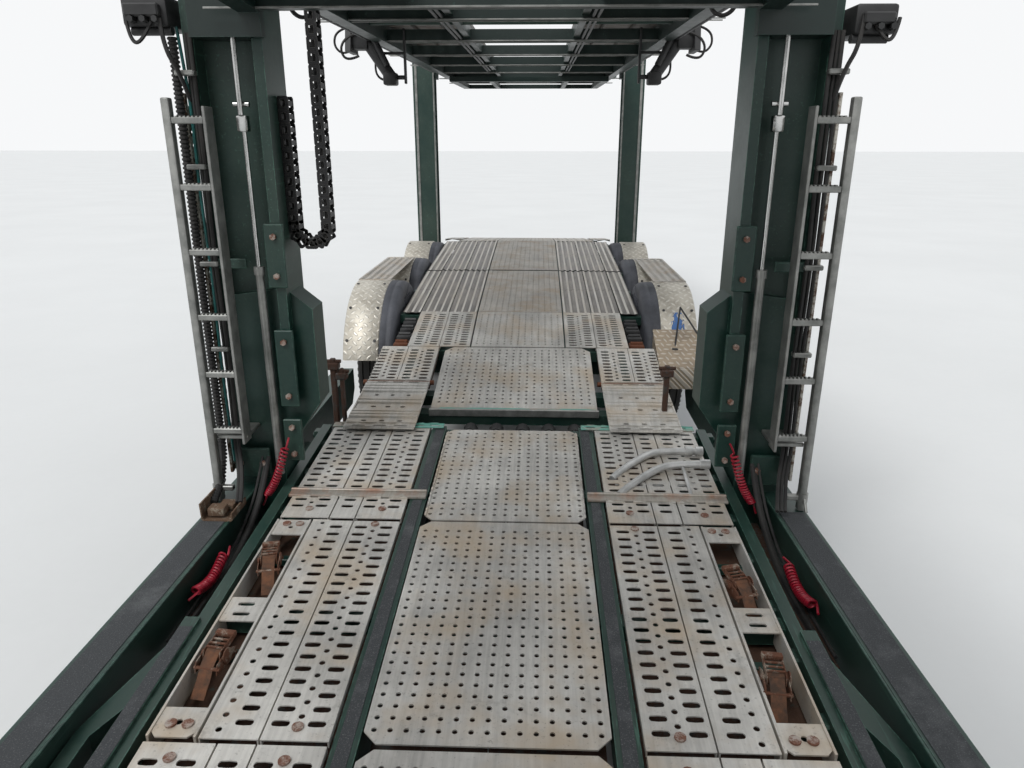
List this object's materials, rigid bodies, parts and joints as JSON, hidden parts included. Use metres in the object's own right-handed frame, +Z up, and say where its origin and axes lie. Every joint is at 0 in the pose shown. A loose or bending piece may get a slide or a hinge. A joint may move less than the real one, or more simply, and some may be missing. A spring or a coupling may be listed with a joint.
{
  "type": "articulated car transporter truck",
  "caption": "Articulated car transporter: low-roof tractor and a two-deck semi-trailer with posts, lifting upper decks, slotted tracks, ladders and arched wheel covers.",
  "frame": {"origin": "on the ground, midway along and across the vehicle", "axes": "+Y to the rear, +X to the right when looking to the rear, +Z up"},
  "size_m": [2.96, 16.48, 3.25],
  "materials": {
    "green_paint": "satin, worn",
    "deck_aluminium": "brushed, scuffed",
    "checker_plate": "chequered",
    "guard_plastic": "moulded",
    "galvanised": "galvanised",
    "chain_plastic": "matte",
    "chassis_black": "satin",
    "cast_block": "cast",
    "tank_aluminium": "satin",
    "cab_paint": "gloss",
    "windscreen_glass": "clear, tinted",
    "cab_plastic": "matte",
    "trim_plastic": "matte",
    "tyre_rubber": "matte",
    "wheel_steel": "satin"
  },
  "bodies": {
    "trailer": {"arch_plates": "checker_plate", "channel_posts": "green_paint", "chock_rack": "galvanised", "deck_plates": "deck_aluminium", "energy_chain": "chain_plastic", "front_posts": "green_paint", "ladders": "galvanised", "mid_deck_bearers": "green_paint", "mudguards": "guard_plastic", "rear_bumper": "green_paint", "trailer_axles": "green_paint", "trailer_frame": "green_paint"},
    "tractor": {"tractor_frame": "chassis_black", "front_axle": "chassis_black", "drive_axle": "chassis_black", "engine": "cast_block", "fifth_wheel": "chassis_black", "side_tanks": "tank_aluminium", "tractor_mudguards": "guard_plastic", "front_bumper": "cab_paint"},
    "cab": {"cab_shell": "cab_paint", "cab_glass": "windscreen_glass", "cab_interior": "cab_plastic", "cab_trim": "trim_plastic"},
    "door_left": {"door_left": "cab_paint"},
    "door_right": {"door_right": "cab_paint"},
    "knuckle_left": {"knuckle_left": "chassis_black"},
    "knuckle_right": {"knuckle_right": "chassis_black"},
    "low_deck": {"low_deck_frame": "green_paint", "low_deck_plates": "deck_aluminium"},
    "track_flap_left": {"track_flap_left": "deck_aluminium"},
    "track_flap_right": {"track_flap_right": "deck_aluminium"},
    "upper_rear": {"upper_rear_frame": "green_paint", "upper_rear_tracks": "deck_aluminium"},
    "upper_front": {"upper_front_frame": "green_paint", "upper_front_tracks": "deck_aluminium"},
    "upper_extension": {"upper_extension": "green_paint"},
    "landing_legs": {"landing_legs": "galvanised"},
    "loading_ramps": {"loading_ramps": "deck_aluminium"},
    "wheel_trailer_1_left": {"rim_trailer_1_left": "wheel_steel", "tyre_trailer_1_left": "tyre_rubber"},
    "wheel_trailer_1_right": {"rim_trailer_1_right": "wheel_steel", "tyre_trailer_1_right": "tyre_rubber"},
    "wheel_trailer_2_left": {"rim_trailer_2_left": "wheel_steel", "tyre_trailer_2_left": "tyre_rubber"},
    "wheel_trailer_2_right": {"rim_trailer_2_right": "wheel_steel", "tyre_trailer_2_right": "tyre_rubber"},
    "wheel_trailer_3_left": {"rim_trailer_3_left": "wheel_steel", "tyre_trailer_3_left": "tyre_rubber"},
    "wheel_trailer_3_right": {"rim_trailer_3_right": "wheel_steel", "tyre_trailer_3_right": "tyre_rubber"},
    "wheel_drive_left": {"rim_drive_left": "wheel_steel", "tyre_drive_left": "tyre_rubber"},
    "wheel_front_left": {"rim_front_left": "wheel_steel", "tyre_front_left": "tyre_rubber"},
    "wheel_drive_right": {"rim_drive_right": "wheel_steel", "tyre_drive_right": "tyre_rubber"},
    "wheel_front_right": {"rim_front_right": "wheel_steel", "tyre_front_right": "tyre_rubber"}
  },
  "joints": [
    {"name": "articulation", "type": "hinge", "parent": "trailer", "child": "tractor", "pos_m": [0, -3.77, 1], "axis": [0, 0, 1], "range_deg": [-60, 60]},
    {"name": "wheel_trailer_1_left_spin", "type": "hinge", "parent": "trailer", "child": "wheel_trailer_1_left", "pos_m": [-1.06, 3.155, 0.433], "axis": [1, 0, 0], "continuous": true},
    {"name": "wheel_trailer_1_right_spin", "type": "hinge", "parent": "trailer", "child": "wheel_trailer_1_right", "pos_m": [1.06, 3.155, 0.433], "axis": [1, 0, 0], "continuous": true},
    {"name": "wheel_trailer_2_left_spin", "type": "hinge", "parent": "trailer", "child": "wheel_trailer_2_left", "pos_m": [-1.06, 4.305, 0.433], "axis": [1, 0, 0], "continuous": true},
    {"name": "wheel_trailer_2_right_spin", "type": "hinge", "parent": "trailer", "child": "wheel_trailer_2_right", "pos_m": [1.06, 4.305, 0.433], "axis": [1, 0, 0], "continuous": true},
    {"name": "wheel_trailer_3_left_spin", "type": "hinge", "parent": "trailer", "child": "wheel_trailer_3_left", "pos_m": [-1.06, 5.455, 0.433], "axis": [1, 0, 0], "continuous": true},
    {"name": "wheel_trailer_3_right_spin", "type": "hinge", "parent": "trailer", "child": "wheel_trailer_3_right", "pos_m": [1.06, 5.455, 0.433], "axis": [1, 0, 0], "continuous": true},
    {"name": "wheel_drive_left_spin", "type": "hinge", "parent": "tractor", "child": "wheel_drive_left", "pos_m": [-0.925, -3.27, 0.47], "axis": [1, 0, 0], "continuous": true},
    {"name": "wheel_front_left_spin", "type": "hinge", "parent": "knuckle_left", "child": "wheel_front_left", "pos_m": [-1.085, -6.87, 0.47], "axis": [1, 0, 0], "continuous": true},
    {"name": "wheel_drive_right_spin", "type": "hinge", "parent": "tractor", "child": "wheel_drive_right", "pos_m": [0.925, -3.27, 0.47], "axis": [1, 0, 0], "continuous": true},
    {"name": "wheel_front_right_spin", "type": "hinge", "parent": "knuckle_right", "child": "wheel_front_right", "pos_m": [1.085, -6.87, 0.47], "axis": [1, 0, 0], "continuous": true},
    {"name": "steer_left", "type": "hinge", "parent": "tractor", "child": "knuckle_left", "pos_m": [-0.85, -6.87, 0.47], "axis": [0, 0, 1], "range_deg": [-35, 35]},
    {"name": "steer_right", "type": "hinge", "parent": "tractor", "child": "knuckle_right", "pos_m": [0.85, -6.87, 0.47], "axis": [0, 0, 1], "range_deg": [-35, 35]},
    {"name": "cab_tilt", "type": "hinge", "parent": "tractor", "child": "cab", "pos_m": [0, -8.18, 0.72], "axis": [1, 0, 0], "range_deg": [0, 55]},
    {"name": "door_left_swing", "type": "hinge", "parent": "cab", "child": "door_left", "pos_m": [-1.233, -7.97, 1.5], "axis": [0, 0, 1], "range_deg": [0, 70]},
    {"name": "door_right_swing", "type": "hinge", "parent": "cab", "child": "door_right", "pos_m": [1.233, -7.97, 1.5], "axis": [0, 0, -1], "range_deg": [0, 70]},
    {"name": "upper_front_lift", "type": "slide", "parent": "trailer", "child": "upper_front", "axis": [0, 0, 1], "range_m": [-0.5, 0.25]},
    {"name": "upper_rear_lift", "type": "slide", "parent": "trailer", "child": "upper_rear", "axis": [0, 0, 1], "range_m": [-0.9, 0.25]},
    {"name": "extension_slide", "type": "slide", "parent": "upper_rear", "child": "upper_extension", "axis": [0, 1, 0], "range_m": [0, 1]},
    {"name": "low_deck_tilt", "type": "hinge", "parent": "trailer", "child": "low_deck", "pos_m": [0, 1.215, 0.59], "axis": [-1, 0, 0], "range_deg": [0, 4]},
    {"name": "flap_left_fold", "type": "hinge", "parent": "trailer", "child": "track_flap_left", "pos_m": [-0.685, 1.735, 0.715], "axis": [-1, 0, 0], "range_deg": [0, 100]},
    {"name": "flap_right_fold", "type": "hinge", "parent": "trailer", "child": "track_flap_right", "pos_m": [0.685, 1.735, 0.715], "axis": [-1, 0, 0], "range_deg": [0, 100]},
    {"name": "landing_leg_slide", "type": "slide", "parent": "trailer", "child": "landing_legs", "axis": [0, 0, 1], "range_m": [-0.19, 0]},
    {"name": "ramp_slide", "type": "slide", "parent": "trailer", "child": "loading_ramps", "axis": [0, 1, 0], "range_m": [0, 1.5]}
  ],
  "couplings": [
    {"joint": "steer_right", "follows": "steer_left", "ratio": 1}
  ]
}
